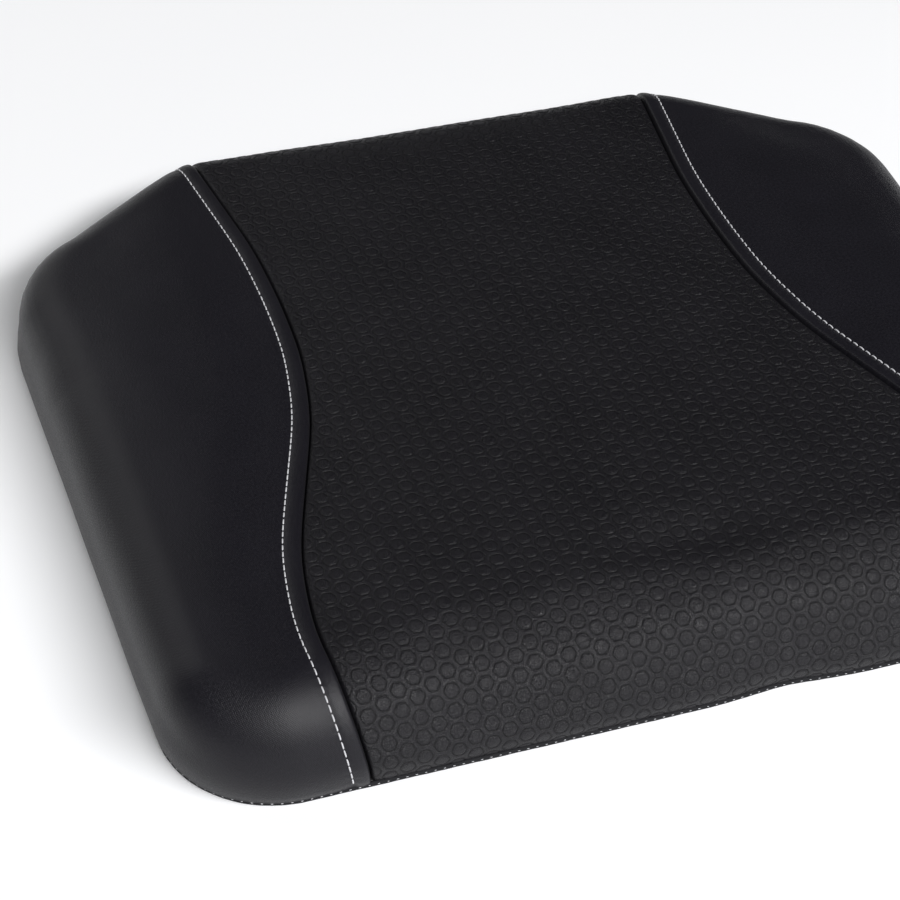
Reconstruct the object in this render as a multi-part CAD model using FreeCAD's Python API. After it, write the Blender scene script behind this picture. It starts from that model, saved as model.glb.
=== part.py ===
import FreeCAD, Part
import math
import os

# Base cushion of a racing bucket seat, in millimetres.
# Origin: centre of the underside. +X to the sitter's right, +Y to the rear, +Z up.
os.makedirs("parts", exist_ok=True)
Vec = FreeCAD.Vector
UP = Vec(0, 0, 1)

# Driving dimensions
HALF_WIDTH_FRONT = 209.5   # walls at the front corners, before rounding
HALF_WIDTH_REAR = 215.5    # walls where the cut rear corners begin
HALF_DEPTH = 186.4
THICKNESS = 46.0
WELT_RADIUS = 1.2
WELT_CORD_RADIUS = 0.6
WELT_OUT = 0.6             # how far the welt stands out from the wall
FRONT_CORNER_RADIUS = 46.0
REAR_CHAMFER_X = 94.5      # how far the cut rear corners reach in from the sides
REAR_CHAMFER_Y = 66.0      # how far they reach forward from the rear
REAR_SIDE_RADIUS = 60.0
REAR_CORNER_RADIUS = 40.0
EDGE_ROLL = 20.0           # radius between the top and the walls
FRONT_ROLL = 32.0          # softer roll along the front, under the sitter's thighs

# Cover, foam and sewing
COVER = 2.0                # thickness of every cover panel
BASE_PANEL_BOTTOM = 1.6
FOAM_BOTTOM = 2.4
WALL_BOTTOM = 2 * WELT_RADIUS
COMFORT_FOAM = 10.0
ALLOWANCE_WIDTH = 7.5      # from the seam to its topstitch
ALLOWANCE_THICKNESS = 2.0
STITCH_PITCH = 3.8
STITCH_LENGTH = 3.0
STITCH_RADIUS = 0.4
STITCH_LIFT = 0.6          # from the surface to the thread's centre
# Seam between the centre panel and a wing: (distance forward or back, half-width of the centre panel)
SEAM_POINTS = [
    (-225, 136), (-185, 143), (-142, 148), (-100, 141.5), (-62, 128.5), (-22, 115),
    (20, 107), (60, 105), (100, 106), (150, 112), (225, 122),
]

# Zip in the rear wall
ZIP_HEIGHT = 15.5          # of the chain's centre line above the underside
TAPE_HALF = 96.0
ZIP_PANEL_TOP = 28.0
ZIP_SLOT_HALF = 90.0
ZIP_SLOT_HALF_HEIGHT = 4.5
TAPE_THICKNESS = 1.0
TAPE_WIDTH = 7.5
CHAIN_HALF_WIDTH = 3.0
CHAIN_GAP_HALF = 0.6
TEETH_HALF = 86.0
TOOTH_PITCH = 2.5
TOOTH_WIDTH = 1.4
TOOTH_THICKNESS = 2.6
SLIDER_REST_X = 78.0
SLIDER_LENGTH = 9.0
SLIDER_PLATE = 0.9
SLIDER_CHANNEL = 3.2       # height inside the slider, front plate to back plate
TAB_LENGTH = 24.0
TAB_THICKNESS = 0.9
TAB_PLAY = 0.2

# Hook-and-loop strips on the underside
STRIP_LENGTH = 280.0
STRIP_DEPTH = 50.0
STRIP_BORDER = 4.0
STRIP_BASE = 0.8
STRIP_CENTRES = {"front": -100.0, "rear": 85.0}

BEYOND = 250.0             # half-size of the blocks that cut the cushion into its pieces
TAPE_Y = HALF_DEPTH - COVER - TAPE_THICKNESS / 2
SLIDER_FRONT_Y = TAPE_Y + SLIDER_CHANNEL / 2 + SLIDER_PLATE
TAB_Y = SLIDER_FRONT_Y + TAB_PLAY + TAB_THICKNESS / 2


def save(name, shape):
    shape.exportStep("parts/" + name + ".step")
    print(name, len(shape.Solids), round(shape.Volume), shape.isValid())


def block(low, high):
    size = Vec(*high) - Vec(*low)
    return Part.makeBox(size.x, size.y, size.z, Vec(*low))


def rounded_wire(corners, z):
    """Closed wire through (x, y, radius) corners, each rounded by a tangent arc."""
    edges = []
    first = None
    last = None
    count = len(corners)
    for index in range(count):
        before = corners[index - 1]
        here = corners[index]
        after = corners[(index + 1) % count]
        point = Vec(here[0], here[1], z)
        to_before = (Vec(before[0], before[1], z) - point).normalize()
        to_after = (Vec(after[0], after[1], z) - point).normalize()
        half_turn = (math.pi - to_before.getAngle(to_after)) / 2
        reach = here[2] * math.tan(half_turn)
        start = point + to_before * reach
        end = point + to_after * reach
        bisector = (to_before + to_after).normalize()
        middle = point + bisector * (here[2] / math.cos(half_turn) - here[2])
        if last is not None:
            edges.append(Part.makeLine(last, start))
        edges.append(Part.Arc(start, middle, end).toShape())
        first = first or start
        last = end
    edges.append(Part.makeLine(last, first))
    return Part.Wire(edges)


def outline(inset, z):
    """Plan of the cushion's wall, moved in by inset."""
    right = [
        (HALF_WIDTH_FRONT, -HALF_DEPTH, FRONT_CORNER_RADIUS),
        (HALF_WIDTH_REAR, HALF_DEPTH - REAR_CHAMFER_Y, REAR_SIDE_RADIUS),
        (HALF_WIDTH_REAR - REAR_CHAMFER_X, HALF_DEPTH, REAR_CORNER_RADIUS),
    ]
    left = [(-x, y, radius) for x, y, radius in reversed(right)]
    corners = right + left
    moved = []
    for index, (x, y, radius) in enumerate(corners):
        here = Vec(x, y, 0)
        before = Vec(corners[index - 1][0], corners[index - 1][1], 0)
        after = Vec(corners[(index + 1) % len(corners)][0], corners[(index + 1) % len(corners)][1], 0)
        arriving = (here - before).normalize()
        leaving = (after - here).normalize()
        outward = Vec(arriving.y + leaving.y, -arriving.x - leaving.x, 0)
        # Moving a corner this way keeps its two edges parallel to the old ones.
        point = here - outward * (inset / (1 + arriving.dot(leaving)))
        moved.append((point.x, point.y, radius - inset))
    return rounded_wire(moved, z)


def front_rounding(inset):
    """Everything behind a large round edge along the front."""
    front = inset - HALF_DEPTH
    top = THICKNESS - inset
    radius = FRONT_ROLL - inset
    slope = radius * (1 - math.sqrt(0.5))
    foot = Vec(-BEYOND, front, top - radius)
    middle = Vec(-BEYOND, front + slope, top - slope)
    head = Vec(-BEYOND, front + radius, top)
    corners = [head, Vec(-BEYOND, BEYOND, top), Vec(-BEYOND, BEYOND, 0), Vec(-BEYOND, front, 0), foot]
    edges = [Part.makeLine(start, end) for start, end in zip(corners, corners[1:])]
    edges.append(Part.Arc(foot, middle, head).toShape())
    return Part.Face(Part.Wire(edges)).extrude(Vec(2 * BEYOND, 0, 0))


def body(inset, bottom):
    """The cushion's solid, inset from the cover's outside, with its rolled top edge."""
    top = THICKNESS - inset
    prism = Part.Face(outline(inset, bottom)).extrude(UP * (top - bottom))
    rim = [edge for edge in prism.Edges if edge.BoundBox.ZMin > top - 0.01]
    return prism.makeFillet(EDGE_ROLL - inset, rim).common(front_rounding(inset))


def seam_curve(offset):
    """Right-hand seam seen from above, moved outward by offset."""
    curve = Part.BSplineCurve()
    curve.interpolate([Vec(x, y, 0) for y, x in SEAM_POINTS])
    if offset == 0:
        return curve
    points = []
    steps = 3 * len(SEAM_POINTS)
    for step in range(steps + 1):
        parameter = curve.FirstParameter + (curve.LastParameter - curve.FirstParameter) * step / steps
        tangent = curve.tangent(parameter)[0]
        points.append(curve.value(parameter) + Vec(tangent.y, -tangent.x, 0) * offset)
    moved = Part.BSplineCurve()
    moved.interpolate(points)
    return moved


def column(wire):
    """Tall solid above a plan outline."""
    shape = Part.Face(wire).extrude(UP * (2 * THICKNESS))
    shape.translate(UP * -THICKNESS / 2)
    return shape


def mirrored(shape):
    return shape.mirror(Vec(0, 0, 0), Vec(1, 0, 0))


def centre_column():
    right = seam_curve(0).toShape()
    left = mirrored(right)
    front = Part.makeLine(left.Vertexes[0].Point, right.Vertexes[0].Point)
    rear = Part.makeLine(right.Vertexes[1].Point, left.Vertexes[1].Point)
    return column(Part.Wire(Part.__sortEdges__([right, left, front, rear])))


def allowance_column():
    inner = seam_curve(0).toShape()
    outer = seam_curve(ALLOWANCE_WIDTH).toShape()
    front = Part.makeLine(inner.Vertexes[0].Point, outer.Vertexes[0].Point)
    rear = Part.makeLine(inner.Vertexes[1].Point, outer.Vertexes[1].Point)
    return column(Part.Wire(Part.__sortEdges__([inner, outer, front, rear])))


def only_solids(shape, smallest=1.0):
    return Part.makeCompound([solid for solid in shape.Solids if solid.Volume > smallest])


def welt_tube(radius):
    path = outline(WELT_RADIUS - WELT_OUT, WELT_RADIUS)
    start = path.Edges[1].Vertexes[0].Point
    path = Part.Wire(Part.__sortEdges__(path.Edges[1:] + path.Edges[:1]))
    direction = path.Edges[0].tangentAt(path.Edges[0].FirstParameter)
    ring = Part.Wire(Part.makeCircle(radius, start, direction))
    return path.makePipeShell([ring], True, False)


def stitch(start, direction, lift_direction):
    """One thread lying on a surface."""
    base = start + lift_direction * STITCH_LIFT
    return Part.makeCylinder(STITCH_RADIUS, STITCH_LENGTH, base, direction)


def stitches_along(points, lift_of):
    row = []
    for start, end in zip(points, points[1:]):
        direction = end - start
        if direction.Length > STITCH_LENGTH:
            row.append(stitch(start, direction, lift_of(start, direction)))
    return row


def topstitch(outer):
    """Stitches where the allowance's outer edge crosses the cover."""
    curtain = seam_curve(ALLOWANCE_WIDTH).toShape().extrude(UP * THICKNESS * 2)
    curtain.translate(UP * (WALL_BOTTOM + 1.5))
    cut = outer.section(curtain)
    wire = Part.Wire(Part.__sortEdges__(cut.Edges))
    points = wire.discretize(Number=int(wire.Length / STITCH_PITCH))

    def lift_of(start, direction):
        across = Vec(direction.y, -direction.x, 0)
        if across.Length < 0.01:
            across = Vec(1, 0, 0)
        normal = across.cross(direction).normalize()
        outward = Vec(0, start.y, 10)
        return normal if normal.dot(outward) > 0 else normal * -1

    return stitches_along(points, lift_of)


def perimeter_stitches():
    wall = outline(0, WALL_BOTTOM + STITCH_RADIUS + 0.2)
    points = wall.discretize(Number=int(wall.Length / STITCH_PITCH))

    def lift_of(start, direction):
        normal = Vec(direction.y, -direction.x, 0).normalize()
        return normal if normal.dot(start) > 0 else normal * -1

    return stitches_along(points, lift_of)


def straight_row(start, end, lift):
    length = (end - start).Length
    count = int(length / STITCH_PITCH)
    points = [start + (end - start) * (index / count) for index in range(count + 1)]
    return stitches_along(points, lambda here, direction: lift)


def hook_strip(centre_y):
    """Plain tape with a raised field of hooks, its corners rounded."""
    def plate(border, low, high, radius):
        half_x = STRIP_LENGTH / 2 - border
        half_y = STRIP_DEPTH / 2 - border
        corners = [(-half_x, -half_y, radius), (half_x, -half_y, radius),
                   (half_x, half_y, radius), (-half_x, half_y, radius)]
        shape = Part.Face(rounded_wire(corners, low)).extrude(UP * (high - low))
        shape.translate(Vec(0, centre_y, 0))
        return shape

    base = plate(0, BASE_PANEL_BOTTOM - STRIP_BASE, BASE_PANEL_BOTTOM, 6.0)
    field = plate(STRIP_BORDER, 0, BASE_PANEL_BOTTOM - STRIP_BASE, 3.0)
    return base.fuse(field).removeSplitter()


def strip_stitches(centre_y):
    half_x = STRIP_LENGTH / 2 - STRIP_BORDER / 2
    half_y = STRIP_DEPTH / 2 - STRIP_BORDER / 2
    turn = 5.0
    z = BASE_PANEL_BOTTOM - STRIP_BASE
    down = Vec(0, 0, -1)
    rows = []
    for side in (-1, 1):
        row_y = centre_y + side * half_y
        rows += straight_row(Vec(turn - half_x, row_y, z), Vec(half_x - turn, row_y, z), down)
        rows += straight_row(Vec(side * half_x, centre_y + turn - half_y, z),
                             Vec(side * half_x, centre_y + half_y - turn, z), down)
    return rows


def zip_tape(side):
    near = ZIP_HEIGHT + side * CHAIN_HALF_WIDTH
    far = ZIP_HEIGHT + side * (CHAIN_HALF_WIDTH + TAPE_WIDTH)
    half = TAPE_HALF - 1.0
    return block((-half, TAPE_Y - TAPE_THICKNESS / 2, min(near, far)),
                 (half, TAPE_Y + TAPE_THICKNESS / 2, max(near, far)))


def tooth(x, side):
    """Tooth with a round tip that points across the chain."""
    radius = TOOTH_WIDTH / 2
    tip = ZIP_HEIGHT + side * (CHAIN_GAP_HALF + radius)
    root = ZIP_HEIGHT + side * CHAIN_HALF_WIDTH
    y = TAPE_Y - TOOTH_THICKNESS / 2
    left = Vec(x - side * radius, y, tip)
    right = Vec(x + side * radius, y, tip)
    point = Vec(x, y, tip - side * radius)
    right_root = Vec(right.x, y, root)
    left_root = Vec(left.x, y, root)
    wire = Part.Wire([
        Part.Arc(left, point, right).toShape(),
        Part.makeLine(right, right_root),
        Part.makeLine(right_root, left_root),
        Part.makeLine(left_root, left),
    ])
    return Part.Face(wire).extrude(Vec(0, TOOTH_THICKNESS, 0))


def zip_teeth(side):
    count = int(2 * TEETH_HALF / TOOTH_PITCH)
    shift = 0 if side > 0 else TOOTH_PITCH / 2
    first = -TEETH_HALF + TOOTH_WIDTH
    return [tooth(first + shift + index * TOOTH_PITCH, side) for index in range(count)]


def zip_end_stops():
    half_y = TOOTH_THICKNESS / 2
    half_z = CHAIN_HALF_WIDTH - 0.2
    stops = []
    for side in (-1, 1):
        near = side * (TEETH_HALF + 1.5)
        far = side * (TEETH_HALF + 3.5)
        stop = block((min(near, far), TAPE_Y - half_y, ZIP_HEIGHT - half_z),
                     (max(near, far), TAPE_Y + half_y, ZIP_HEIGHT + half_z))
        stops.append(stop.makeFillet(0.5, stop.Edges))
    return stops


def slider_plate(y):
    """Shield-shaped plate, wider at the end that leads when the zip closes."""
    half = SLIDER_LENGTH / 2
    corners = [(-half, -3.4, 1.2), (half, -3.9, 1.6), (half, 3.9, 1.6), (-half, 3.4, 1.2)]
    face = Part.Face(rounded_wire(corners, 0))
    plate = face.extrude(UP * SLIDER_PLATE)
    plate.rotate(Vec(0, 0, 0), Vec(1, 0, 0), -90)
    plate.translate(Vec(SLIDER_REST_X, y, ZIP_HEIGHT))
    return plate


def zip_slider():
    inner_front = TAPE_Y + SLIDER_CHANNEL / 2
    inner_back = TAPE_Y - SLIDER_CHANNEL / 2
    lip = SLIDER_CHANNEL / 2 - TAPE_THICKNESS / 2 - 0.3
    parts = [slider_plate(inner_front), slider_plate(inner_back - SLIDER_PLATE)]
    low_x = SLIDER_REST_X - SLIDER_LENGTH / 2 + 1.5
    high_x = SLIDER_REST_X + SLIDER_LENGTH / 2 - 1.7
    for side in (-1, 1):
        near = ZIP_HEIGHT + side * (CHAIN_HALF_WIDTH + 0.3)
        far = ZIP_HEIGHT + side * (CHAIN_HALF_WIDTH + 0.65)
        low_z = min(near, far)
        high_z = max(near, far)
        parts.append(block((low_x, inner_front - lip, low_z), (high_x, inner_front + 0.3, high_z)))
        parts.append(block((low_x, inner_back - 0.3, low_z), (high_x, inner_back + lip, high_z)))
    divider_half = CHAIN_GAP_HALF - 0.25
    divider_x = SLIDER_REST_X + SLIDER_LENGTH / 2 - 3.0
    parts.append(block((divider_x, inner_back - 0.3, ZIP_HEIGHT - divider_half),
                       (divider_x + 2.0, inner_front + 0.3, ZIP_HEIGHT + divider_half)))
    parts.append(bail())
    shape = parts[0].multiFuse(parts[1:])
    return shape.removeSplitter()


def bail():
    """Low bridge that holds the pull tab's bar."""
    reach = 3.2
    bar_low = TAB_Y + TAB_THICKNESS / 2 + 0.15
    bar_high = bar_low + 0.7
    half_width = 0.75
    bottom = SLIDER_FRONT_Y - 0.3
    bridge = block((SLIDER_REST_X - reach, bottom, ZIP_HEIGHT - half_width),
                   (SLIDER_REST_X + reach, bar_high, ZIP_HEIGHT + half_width))
    corners = [edge for edge in bridge.Edges
               if edge.BoundBox.YMin > bar_high - 0.01 and edge.BoundBox.XLength < 0.01]
    bridge = bridge.makeFillet(0.6, corners)
    gap = block((SLIDER_REST_X - reach + 0.8, SLIDER_FRONT_Y, ZIP_HEIGHT - 1),
                (SLIDER_REST_X + reach - 0.8, bar_low, ZIP_HEIGHT + 1))
    return bridge.cut(gap)


def zip_pull_tab():
    """Flat tab with an eye around the bail; it lies along -X."""
    half_eye = 1.7
    half_width = 3.0
    hole_far = 5.2
    bottom = TAB_Y - TAB_THICKNESS / 2
    corners = [(-TAB_LENGTH, -half_width - 0.6, 2.5), (0, -half_width, 0.2),
               (0, half_width, 0.2), (-TAB_LENGTH, half_width + 0.6, 2.5)]
    plate = Part.Face(rounded_wire(corners, 0)).extrude(UP * TAB_THICKNESS)
    hole = block((-hole_far, -half_eye, -1), (0.2, half_eye, TAB_THICKNESS + 1))
    grip = block((-TAB_LENGTH + 3.5, -1.6, -1), (-TAB_LENGTH + 7.5, 1.6, TAB_THICKNESS + 1))
    grip = grip.makeFillet(1.4, [edge for edge in grip.Edges if edge.BoundBox.ZLength > 1])
    plate = plate.cut(hole).cut(grip)
    plate.rotate(Vec(0, 0, 0), Vec(1, 0, 0), -90)
    plate.translate(Vec(SLIDER_REST_X, bottom, ZIP_HEIGHT))
    bar = Part.makeCylinder(TAB_THICKNESS / 2, 2 * half_width,
                            Vec(SLIDER_REST_X, TAB_Y, ZIP_HEIGHT - half_width), UP)
    return plate.fuse(bar).removeSplitter()


def main():
    outer = body(0, WALL_BOTTOM)
    lining = body(COVER, FOAM_BOTTOM)
    below_allowance = body(COVER + ALLOWANCE_THICKNESS, FOAM_BOTTOM)
    shell = outer.cut(lining)
    centre = centre_column()
    welt = welt_tube(WELT_RADIUS)
    cord = welt_tube(WELT_CORD_RADIUS)

    zip_patch = block((-BEYOND, 0, 0), (BEYOND, BEYOND, ZIP_PANEL_TOP))
    zip_slot = block((-ZIP_SLOT_HALF, HALF_DEPTH - 10, ZIP_HEIGHT - ZIP_SLOT_HALF_HEIGHT),
                     (ZIP_SLOT_HALF, HALF_DEPTH + 10, ZIP_HEIGHT + ZIP_SLOT_HALF_HEIGHT))

    save("centre_panel", only_solids(shell.common(centre).cut(zip_patch)))
    save("rear_zip_panel", only_solids(shell.common(centre).common(zip_patch).cut(zip_slot)))
    wings = shell.cut(centre)
    right_wing = [solid for solid in wings.Solids if solid.CenterOfMass.x > 0][0]
    save("right_wing_panel", Part.makeCompound([right_wing]))
    save("left_wing_panel", Part.makeCompound([mirrored(right_wing)]))

    allowance = lining.cut(below_allowance).common(allowance_column())
    floor_cut = block((-BEYOND, -BEYOND, 0), (BEYOND, BEYOND, WALL_BOTTOM + 1))
    allowance = only_solids(allowance.cut(floor_cut))
    save("right_seam_allowance", allowance)
    save("left_seam_allowance", mirrored(allowance))

    base_inset = 2 * WELT_RADIUS - WELT_OUT + 0.05
    base_outline = Part.Face(outline(base_inset, BASE_PANEL_BOTTOM))
    base = base_outline.extrude(UP * (FOAM_BOTTOM - BASE_PANEL_BOTTOM))
    save("base_panel", base)
    save("perimeter_welt", welt.cut(cord))
    save("welt_cord", cord)
    save("perimeter_stitches", Part.makeCompound(perimeter_stitches()))

    # The foam fills the cover, and is relieved round the welt and behind the zip.
    filling = lining.cut(welt)
    comfort_low = THICKNESS - COVER - COMFORT_FOAM
    comfort_zone = block((-BEYOND, -BEYOND, comfort_low), (BEYOND, BEYOND, THICKNESS))
    tape_pocket = block((-TAPE_HALF, HALF_DEPTH - COVER - TAPE_THICKNESS, WALL_BOTTOM),
                        (TAPE_HALF, HALF_DEPTH, ZIP_PANEL_TOP))
    chain_pocket = block((-TAPE_HALF, TAPE_Y - SLIDER_CHANNEL / 2 - SLIDER_PLATE - 0.6, ZIP_HEIGHT - 5.5),
                         (TAPE_HALF, HALF_DEPTH, ZIP_HEIGHT + 5.5))
    middle = filling.common(centre)
    save("comfort_foam", only_solids(middle.common(comfort_zone)))
    save("foam_core", only_solids(middle.cut(comfort_zone).cut(tape_pocket).cut(chain_pocket)))
    bolsters = filling.cut(centre)
    right_bolster = [solid for solid in bolsters.Solids if solid.CenterOfMass.x > 0][0]
    right_bolster = only_solids(right_bolster.cut(allowance))
    save("right_bolster_foam", right_bolster)
    save("left_bolster_foam", mirrored(right_bolster))

    right_topstitch = Part.makeCompound(topstitch(outer))
    save("right_topstitch", right_topstitch)
    save("left_topstitch", mirrored(right_topstitch))

    strip_rows = []
    for name, centre_y in STRIP_CENTRES.items():
        save(name + "_hook_strip", hook_strip(centre_y))
        strip_rows += strip_stitches(centre_y)
    save("hook_strip_stitches", Part.makeCompound(strip_rows))

    zip_rows = []
    for name, side in (("upper", 1), ("lower", -1)):
        save("zip_tape_" + name, zip_tape(side))
        save("zip_teeth_" + name, Part.makeCompound(zip_teeth(side)))
        row_z = ZIP_HEIGHT + side * (ZIP_SLOT_HALF_HEIGHT + 3.0)
        ends = [Vec(x, HALF_DEPTH, row_z) for x in (-ZIP_SLOT_HALF, ZIP_SLOT_HALF)]
        zip_rows += straight_row(ends[0], ends[1], Vec(0, 1, 0))
    save("zip_stitches", Part.makeCompound(zip_rows))
    save("zip_end_stops", Part.makeCompound(zip_end_stops()))
    save("zip_slider", zip_slider())
    save("zip_pull_tab", zip_pull_tab())


main()
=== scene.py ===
import math

import bmesh
import bpy
import numpy as np
from mathutils import Matrix, Vector, kdtree


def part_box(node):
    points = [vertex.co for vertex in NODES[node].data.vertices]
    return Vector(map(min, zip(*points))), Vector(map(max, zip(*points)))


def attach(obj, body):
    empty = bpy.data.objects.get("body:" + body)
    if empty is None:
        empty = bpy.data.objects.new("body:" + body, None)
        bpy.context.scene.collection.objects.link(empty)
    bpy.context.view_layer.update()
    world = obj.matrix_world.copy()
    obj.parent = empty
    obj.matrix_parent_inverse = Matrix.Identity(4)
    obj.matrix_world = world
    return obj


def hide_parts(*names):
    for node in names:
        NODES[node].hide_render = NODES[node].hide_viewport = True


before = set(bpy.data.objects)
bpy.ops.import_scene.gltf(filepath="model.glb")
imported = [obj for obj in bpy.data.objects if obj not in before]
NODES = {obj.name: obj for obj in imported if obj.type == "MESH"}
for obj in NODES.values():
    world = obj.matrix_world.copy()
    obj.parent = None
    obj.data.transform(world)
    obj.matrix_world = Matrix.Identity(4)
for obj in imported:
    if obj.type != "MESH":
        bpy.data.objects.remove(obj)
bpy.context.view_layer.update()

# Upholstered base cushion of a racing seat. Shapes are worked out in millimetres and written in metres.
MM = 0.001


def cad_box(node):
    """Lowest and highest corner of a CAD node, in millimetres."""
    low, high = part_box(node)
    return np.array(low) / MM, np.array(high) / MM


TOP = cad_box("centre_panel")[1][2]
WALL_Y = -cad_box("centre_panel")[0][1]
WELT_RADIUS = cad_box("perimeter_welt")[1][2] / 2
WELT_OUT = cad_box("perimeter_welt")[1][1] - WALL_Y
ZIP_PANEL_TOP = cad_box("rear_zip_panel")[1][2]
BASE_LOW = cad_box("base_panel")[0][2]
BASE_HIGH = cad_box("base_panel")[1][2]

# Plan of the wall: sharp corners and the radius that rounds each
HALF_WIDTH_FRONT = 209.5
HALF_WIDTH_REAR = 215.5
REAR_CHAMFER_X = 94.5
REAR_CHAMFER_Y = 66.0
RIGHT_CORNERS = [
    (HALF_WIDTH_FRONT, -WALL_Y, 46.0),
    (HALF_WIDTH_REAR, WALL_Y - REAR_CHAMFER_Y, 60.0),
    (HALF_WIDTH_REAR - REAR_CHAMFER_X, WALL_Y, 40.0),
]

# Edge roll between the top and the walls
ROLL = 20.0
WING_FRONT_ROLL = 30.0
FRONT_ROLL = 42.0          # in the middle of the front
FRONT_ROLL_FLAT = 96.0     # half-width over which the front keeps that radius
FRONT_ROLL_END = 170.0
WALL_FOOT = 1.3            # height at which the cover turns in over the welt
WALL_BULGE = 1.6
FOOT_TURN = 0.9

# Seam between the centre panel and a wing: unrolled position, half-width of the centre panel
SEAM_POINTS = [
    (-240, 134.0), (-205, 140.0), (-175, 146.0), (-142, 148.5), (-100, 142.0), (-62, 128.5),
    (-22, 114.0), (20, 106.0), (60, 104.5), (100, 105.5), (150, 112.0), (190, 117.0), (240, 122.0),
]
STITCH_OFFSET = 7.5
STITCH_PITCH = 3.8
STITCH_GAP = 0.2           # from a needle hole to the thread
STITCH_END = 5.0           # height at which the topstitch runs under the piping

# Height of the cover beside the seam: distance from the seam, height above the plain surface
WING_SECTION = [
    (0, -3.2), (0.3, -1.0), (0.7, 0.25), (1.3, 0.65), (2.6, 0.8), (4.2, 0.8), (5.6, 0.65),
    (6.7, 0.35), (7.5, 0.05), (8.4, 0.2), (10.5, 0.5), (15, 0.75), (26, 0.9), (400, 0.9),
]
CENTRE_SECTION = [
    (0, -3.4), (0.3, -1.8), (0.9, -0.6), (2.0, -0.15), (4.0, 0.0), (400, 0.0),
]

# Honeycomb emboss
CELL_PITCH = 8.0
CELL_COLUMN = CELL_PITCH * math.sqrt(3) / 2
CELL_RADIUS = 2.75
CELL_DEPTH = 0.26
CELL_RISE = 0.12

# Shallow dip behind a raised lip, right of the middle of the front
DIP = (8.0, -137.0)
LIP = (26.0, -168.0)

CENTRE_STEP = 0.58
WING_STEP = 1.15


# ---- small helpers

def unit(vector):
    return vector / np.linalg.norm(vector)


def ease(low, high, values):
    share = np.clip((values - low) / (high - low), 0, 1)
    return share * share * (3 - 2 * share)


def smooth_table(points, grid, blur, widths, at):
    """Curve through a table's points, blurred over an even grid and read at some places."""
    table = np.array(points, float)
    step = grid[1] - grid[0]
    values = np.interp(grid, table[:, 0], table[:, 1])
    reach = int(widths * blur / step)
    weights = np.exp(-0.5 * (np.arange(-reach, reach + 1) * step / blur) ** 2)
    padded = np.pad(values, reach, mode="edge")
    smooth = np.convolve(padded, weights / weights.sum(), mode="valid")
    return np.interp(at, grid, smooth)


def section_height(section, distance):
    """Height of a seam section at each distance."""
    return smooth_table(section, np.arange(-3, 40, 0.1), 0.35, 3, distance)


def smooth_noise(u, v, size, seed):
    """Gentle random waves about size millimetres long, from -1 to 1."""
    draw = np.random.default_rng(seed)
    total = np.zeros_like(u)
    for _ in range(6):
        angle = draw.uniform(0, 2 * math.pi)
        length = size * draw.uniform(0.7, 1.6)
        phase = draw.uniform(0, 2 * math.pi)
        total += np.sin((u * math.cos(angle) + v * math.sin(angle)) * 2 * math.pi / length + phase)
    return total / 6


def make_mesh(name, points, faces, uv=None):
    """Object from points in millimetres and faces; uv is in millimetres too."""
    mesh = bpy.data.meshes.new(name)
    faces = np.asarray(faces, np.int32)
    sides = faces.shape[1]
    mesh.vertices.add(len(points))
    mesh.vertices.foreach_set("co", (np.asarray(points, np.float32) * MM).ravel())
    mesh.loops.add(faces.size)
    mesh.loops.foreach_set("vertex_index", faces.ravel())
    mesh.polygons.add(len(faces))
    mesh.polygons.foreach_set("loop_start", np.arange(0, faces.size, sides, dtype=np.int32))
    mesh.polygons.foreach_set("use_smooth", np.ones(len(faces), bool))
    if uv is not None:
        layer = mesh.uv_layers.new(name="unrolled")
        layer.data.foreach_set("uv", np.asarray(uv, np.float32)[faces.ravel()].ravel())
    mesh.update(calc_edges=True)
    mesh.validate()
    thing = bpy.data.objects.new(name, mesh)
    bpy.context.scene.collection.objects.link(thing)
    return thing


def repeated(faces, count):
    """The same faces for each of count equal pieces in one mesh."""
    offsets = np.arange(count) * (faces.max() + 1)
    return (faces[None] + offsets[:, None, None]).reshape(-1, 4)


def weld(piece):
    """Merges points that coincide, so that pointed ends and collapsed rows close."""
    form = bmesh.new()
    form.from_mesh(piece.data)
    bmesh.ops.remove_doubles(form, verts=form.verts, dist=1e-7)
    form.to_mesh(piece.data)
    form.free()
    return piece


def grid_faces(rows, columns, flip=False, wrap=False):
    """Quads of a grid whose points are stored row by row."""
    last = columns if wrap else columns - 1
    row, column = np.meshgrid(np.arange(rows - 1), np.arange(last), indexing="ij")
    beside = (column + 1) % columns
    a = row * columns + column
    b = row * columns + beside
    c = (row + 1) * columns + beside
    d = (row + 1) * columns + column
    order = [a, d, c, b] if flip else [a, b, c, d]
    return np.stack([part.ravel() for part in order], 1)


# ---- the cushion's form

def outline_pieces():
    """Straight runs and corner arcs of the wall's plan, anticlockwise from the front right."""
    corners = RIGHT_CORNERS + [(-x, y, radius) for x, y, radius in reversed(RIGHT_CORNERS)]
    points = np.array([corner[:2] for corner in corners])
    arcs = []
    for index, here in enumerate(points):
        to_before = unit(points[index - 1] - here)
        to_after = unit(points[(index + 1) % len(points)] - here)
        half_turn = (math.pi - math.acos(float(np.clip(to_before @ to_after, -1, 1)))) / 2
        radius = corners[index][2]
        reach = radius * math.tan(half_turn)
        arcs.append({
            "start": here + to_before * reach,
            "end": here + to_after * reach,
            "centre": here + unit(to_before + to_after) * radius / math.cos(half_turn),
            "radius": radius,
            "turn": 2 * half_turn,
        })
    position = 0.0
    for index, arc in enumerate(arcs):
        arc["run_start"] = arcs[index - 1]["end"]
        arc["run_length"] = float(np.linalg.norm(arc["start"] - arc["run_start"]))
        arc["run_position"] = position
        position += arc["run_length"]
        arc["position"] = position
        position += arc["radius"] * arc["turn"]
    return arcs, position


ARCS, PERIMETER = outline_pieces()


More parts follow.
